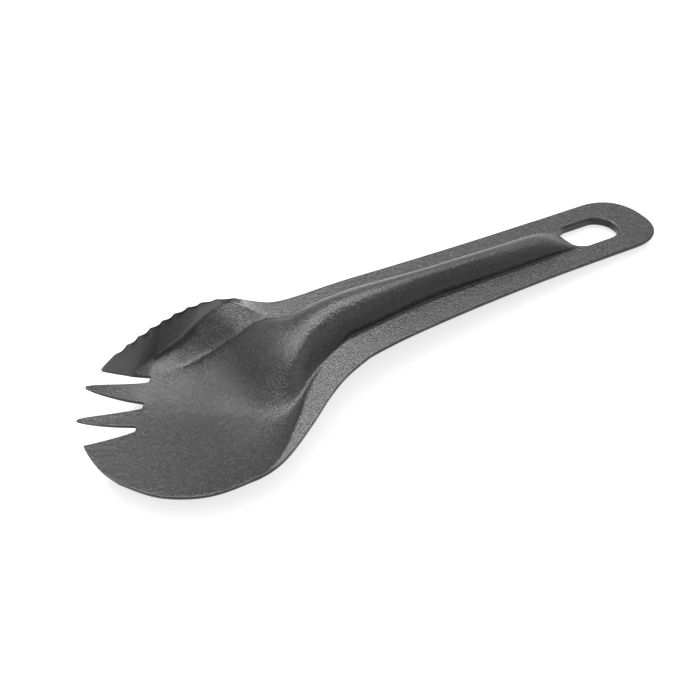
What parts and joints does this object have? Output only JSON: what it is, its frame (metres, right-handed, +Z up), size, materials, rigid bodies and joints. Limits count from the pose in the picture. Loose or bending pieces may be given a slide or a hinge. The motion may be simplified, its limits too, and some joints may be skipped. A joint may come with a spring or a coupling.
{
  "type": "spork",
  "caption": "Moulded spork: shallow bowl with tines on a slanted front, a serrated cutting edge along one side and a ribbed handle that ends in a hanging slot.",
  "frame": {"origin": "middle of the outline, at the ground that the bowl's underside and the handle end rest on", "axes": "+X along the spork towards the handle end, +Y towards the serrated side, +Z up out of the bowl"},
  "size_m": [0.155, 0.0541, 0.0156],
  "materials": {
    "moulding": "fine spark-eroded satin, dark grey, moulded right through"
  },
  "bodies": {
    "root": {"bowl": "moulding", "plain_outer_tine": "moulding", "plain_inner_tine": "moulding", "serrated_inner_tine": "moulding", "serrated_outer_tine": "moulding", "serrated_edge": "moulding", "plain_side_flange": "moulding", "serrated_side_flange": "moulding", "handle_rib": "moulding", "hang_loop": "moulding"}
  },
  "joints": []
}
